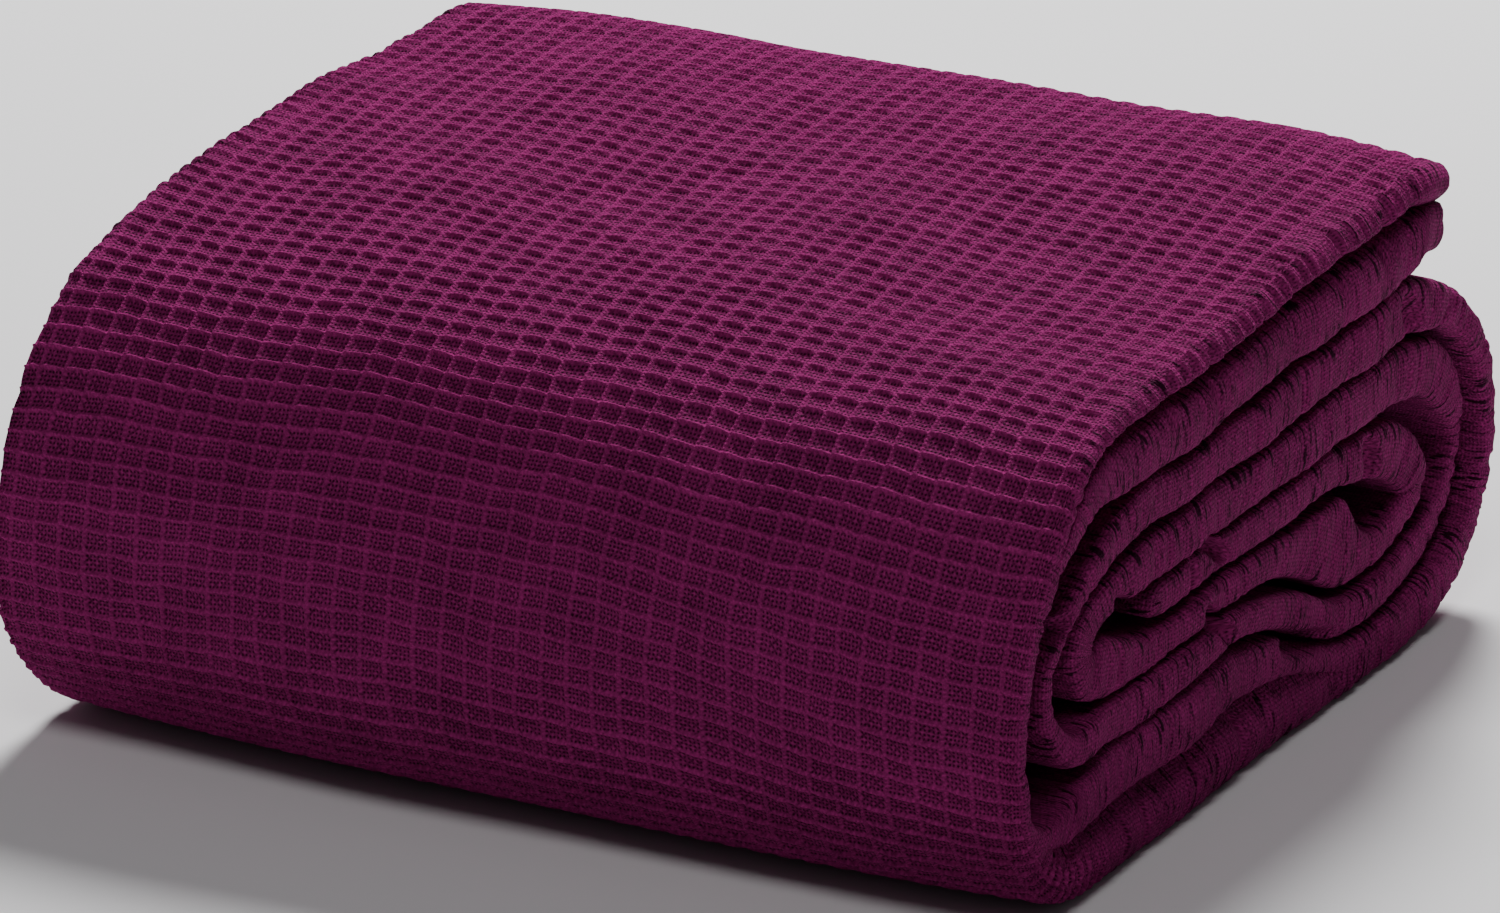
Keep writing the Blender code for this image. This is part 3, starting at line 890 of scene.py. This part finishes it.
def fold_strokes(places, pulled):
    """Short slits and a crimp across the strip, where a fold pulls the cells.

    The slits come in clusters, and both are deepest where pulled is 1; through the tone the slits
    are also painted darker, as painted shade.
    """
    tree = places.tree
    stretch = add_node(tree, "ShaderNodeMapping", Vector=places, Scale=(1.1, 4.2, 1.0))
    strokes = noise(Value(tree, stretch.outputs["Vector"]), 1.0, 1.5)
    step = add_node(tree, "ShaderNodeMapRange", Value=strokes, From_Min=0.55, From_Max=0.64,
                    To_Min=0.0, To_Max=1.0)
    step.interpolation_type = "SMOOTHSTEP"
    gather = calc("MAXIMUM", noise(places, 0.42, 1.0) - 0.40, 0.0) * 5.0
    return Value(tree, step.outputs["Result"]) * gather * pulled, (strokes - 0.5) * pulled


def plum_cotton():
    """Plum cotton: yarns in bump, cords painted brighter as painted highlight, holes and slits
    painted darker as painted shade.
    """
    material = bpy.data.materials.new("plum cotton weave")
    material.use_nodes = True
    tree = material.node_tree
    shader = tree.nodes["Principled BSDF"]
    shader.inputs["Roughness"].default_value = 0.82
    shader.inputs["Sheen Weight"].default_value = 0.04
    shader.inputs["Sheen Roughness"].default_value = 0.40
    shader.inputs["Sheen Tint"].default_value = SHEEN_PLUM
    shader.inputs["Specular IOR Level"].default_value = 0.05

    uv = add_node(tree, "ShaderNodeUVMap")
    uv.uv_map = "weave"
    places = Value(tree, uv.outputs["UV"])
    split = add_node(tree, "ShaderNodeSeparateXYZ", Vector=places)
    u, v = (Value(tree, split.outputs[axis]) for axis in "XY")
    fold, crack = attribute(tree, "fold"), attribute(tree, "crack")

    flat = 1.0 - fold
    # ridge marks the cords: it flattens their yarns, and through the tone it paints them brighter,
    # a painted highlight
    ridge = calc("MAXIMUM", cord(v, CORD_X_SHARP) * (flat * 0.7 + 0.3),
                 cord(u, CORD_S_SHARP) * flat * 0.8)
    # pulled grows in the cracks between folds, so the slits there are painted darker, as painted
    # shade between the folds
    slits, crimp = fold_strokes(places, fold * (crack * 0.9 + 0.35))
    lint = noise(places, 7.0, 3.0) - 0.5
    height = yarns_height(u, v, ridge, fold) + lint * LINT_HIGH
    height = height - slits * STROKE_DEEP - crimp * CRIMP_HIGH
    relief = add_node(tree, "ShaderNodeBump", Strength=0.8, Distance=YARN_BUMP, Height=height)
    tree.links.new(relief.outputs["Normal"], shader.inputs["Normal"])

    wander_tone = noise(places, 0.35, 4.0) * TONE_WANDER
    # the tone: random wander and the lint's random tone, painted highlight on the cords, and
    # through the height painted shade in the holes and slits
    tone = ridge * RIDGE_PAINTED_HIGHLIGHT + wander_tone + TONE_LEAST + height * HEIGHT_PAINTED_SHADE_AND_LINT
    colours = add_node(tree, "ShaderNodeValToRGB", Fac=tone)
    for stop, colour in zip(colours.color_ramp.elements, (DEEP_PLUM, BRIGHT_PLUM)):
        stop.color = colour
    tree.links.new(colours.outputs["Color"], shader.inputs["Base Color"])
    return material


# -------------------------------------------------------------- the blanket
OUTWARD_PIECES = ("top_cloth", "front_cloth", "floor_cloth", "rear_cloth")
OUTWARD_CUTS = ("shoulder", "floor front", "floor end")     # between those pieces
HIDDEN_RUN = 45.0           # the outer turn is cut this far past "second rear"
OVERLAP_CELLS = 6           # the wound turns begin this much before that cut
INWARD_PARTS = (0.97, 0.93, 0.85, 0.7, 0.45, 0.0)       # of the half width
WOUND_STEPS = (0.0, 6.0, 12.0, 15.0, 17.0, 17.5, 17.75, 18.0, 18.25, 18.5, 18.75)
TURN_DEGREES = 15           # between two rows round a cut end
JOINING_ROWS = 3            # of the grid, worked out again so that the join is smooth
OUTER_ROWS = int(round((MARK["second rear"] + HIDDEN_RUN) / CELL_S))


def grow_end(grid, steps, columns, tip, turning, end):
    """The grid with the rows that carry it round a cut end; see Turn."""
    last = 180 if turning else 90
    rows = [(math.radians(a), 0.0) for a in range(TURN_DEGREES, last + 1, TURN_DEGREES)]
    if turning:
        rows += [(math.pi, tuck) for tuck in END_TUCKS]
    over = [END_RADIUS * angle + tuck for angle, tuck in rows]
    count = len(rows)
    still = [(0.0, 0.0)] * JOINING_ROWS
    if end < 0:
        turns = rows[::-1] + still
        places = [steps[0] - o for o in over[::-1]] + list(steps[:JOINING_ROWS])
    else:
        turns = still + rows
        places = list(steps[-JOINING_ROWS:]) + [steps[-1] + o for o in over]
    added = woven(places, columns, Turn(*zip(*turns), tip, turning, end))
    if end < 0:
        return Grid(*[np.concatenate([a[:count + 1], g[1:]]) for a, g in zip(added, grid)])
    return Grid(*[np.concatenate([g[:-1], a[-count - 1:]]) for a, g in zip(added, grid)])


def outer_turn():
    """The pieces of the outer turn: four outward ones and the inner fold."""
    columns = Columns(cell_steps(CELLS_FLAT, CUTS), INWARD_PARTS, CUTS)
    steps = cell_steps(OUTER_ROWS, CUTS) * CELL_S
    grid = woven(steps, columns)
    folds = CELLS_OUTER * len(CUTS)                     # columns of the outer fold
    inner_tip = folds + CELLS_INNER * len(CUTS) // 2
    reach = columns.first + folds
    span = slice(columns.middle - reach, columns.middle + reach + 1)

    outside = grow_end(grid, steps, columns, folds // 2, -1, -1)
    extra = len(outside.row) - len(steps)
    ends = [int(round(MARK[place] / CELL_S)) for place in OUTWARD_CUTS] + [OUTER_ROWS]
    cuts = [0] + [cells * len(CUTS) + extra for cells in ends]
    for name, first, last in zip(OUTWARD_PIECES, cuts, cuts[1:]):
        yield name, Grid(*[g[first:last + 1, span] for g in outside])

    inside = grow_end(grid, steps, columns, inner_tip, 1, -1)
    right = slice(columns.middle + reach, None)
    left = slice(None, columns.middle - reach + 1)
    yield "inner_fold_cloth", Grid(*[np.concatenate([g[:, right], g[:, left]], axis=1)
                                     for g in inside])


def wound_turns():
    """Both sides of the turns inside the roll, as one piece."""
    columns = Columns(WOUND_STEPS, INWARD_PARTS, WOUND_CUTS)
    start = OUTER_ROWS - OVERLAP_CELLS
    steps = (start + cell_steps(ROWS - start, WOUND_CUTS)) * CELL_S
    tip = CELLS_OUTER * len(WOUND_CUTS)
    yield "wound_cloth", grow_end(woven(steps, columns), steps, columns, tip, 0, 1)


def dress_blanket():
    """Make every piece of the cloth, attach it to the root, hide the blanket's solid and print its
    size.
    """
    material = plum_cotton()
    for name, grid in (*outer_turn(), *wound_turns()):
        piece = make_piece(name, grid, material)
        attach(piece, "root")
        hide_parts("blanket")
        area = grid_area(grid.points)
        long = (grid.row[-1, 0] - grid.row[0, 0]) * CELL_S * MM
        print(name, len(piece.data.polygons) * 2, "triangles", round(area, 4), "m2")
        area / long / WEAVE_TAKE_UP


# --------------------------------------------------------- floor, light, camera
FLOOR_HALF = 12.0           # metres, as all that follows
FLOOR_UNDER = 0.0004        # how far the floor lies under the cloth
PAPER = (0.90, 0.89, 0.90, 1.0)
ROOM = (0.95, 0.95, 1.0, 1.0)
ROOM_STRENGTH = 0.070
LIGHTS = [
    # name    place                aimed at           size  watts
    ("key",  (-0.55, 1.5, 1.9),   (0.05, 0.0, 0.1),   0.8,  88.0),
    ("fill", (0.7, -1.5, 2.5),    (0.0, 0.0, 0.08),   1.0,  19.0),
]
CAMERA_PLACE = (1.40351, -2.62414, 1.21335)
CAMERA_WAY = (-0.44116, 0.82277, -0.35837)
CAMERA_LENS = 240.0         # millimetres
CAMERA_SENSOR = 36.0        # millimetres


def put(name, data, place, way=None):
    """An object in the scene at a place, its -Z axis along way."""
    obj = bpy.data.objects.new(name, data)
    obj.location = place
    if way is not None:
        obj.rotation_euler = way.to_track_quat("-Z", "Y").to_euler()
    bpy.context.scene.collection.objects.link(obj)
    return obj


def studio():
    """The paper floor, the lights and the room round them."""
    half = FLOOR_HALF
    floor = bpy.data.meshes.new("floor")
    floor.from_pydata([(-half, -half, 0), (half, -half, 0), (half, half, 0), (-half, half, 0)],
                      [], [(0, 1, 2, 3)])
    paper = bpy.data.materials.new("pale paper")
    paper.use_nodes = True
    shader = paper.node_tree.nodes["Principled BSDF"]
    shader.inputs["Base Color"].default_value = PAPER
    shader.inputs["Roughness"].default_value = 0.9
    floor.materials.append(paper)
    put("floor", floor, (0.0, 0.0, -FLOOR_UNDER))

    for name, place, target, size, power in LIGHTS:
        light = bpy.data.lights.new(name, "AREA")
        light.shape = "DISK"
        light.size = size
        light.energy = power
        put(name, light, place, Vector(target) - Vector(place))

    world = bpy.data.worlds.new("pale room")
    world.use_nodes = True
    background = world.node_tree.nodes["Background"]
    background.inputs["Color"].default_value = ROOM
    background.inputs["Strength"].default_value = ROOM_STRENGTH
    bpy.context.scene.world = world


def camera():
    """The camera, where the photo was taken from."""
    data = bpy.data.cameras.new("camera")
    data.sensor_width = CAMERA_SENSOR
    data.lens = CAMERA_LENS
    data.clip_end = 50.0
    bpy.context.scene.camera = put("camera", data, CAMERA_PLACE, Vector(CAMERA_WAY))


dress_blanket()
studio()
camera()
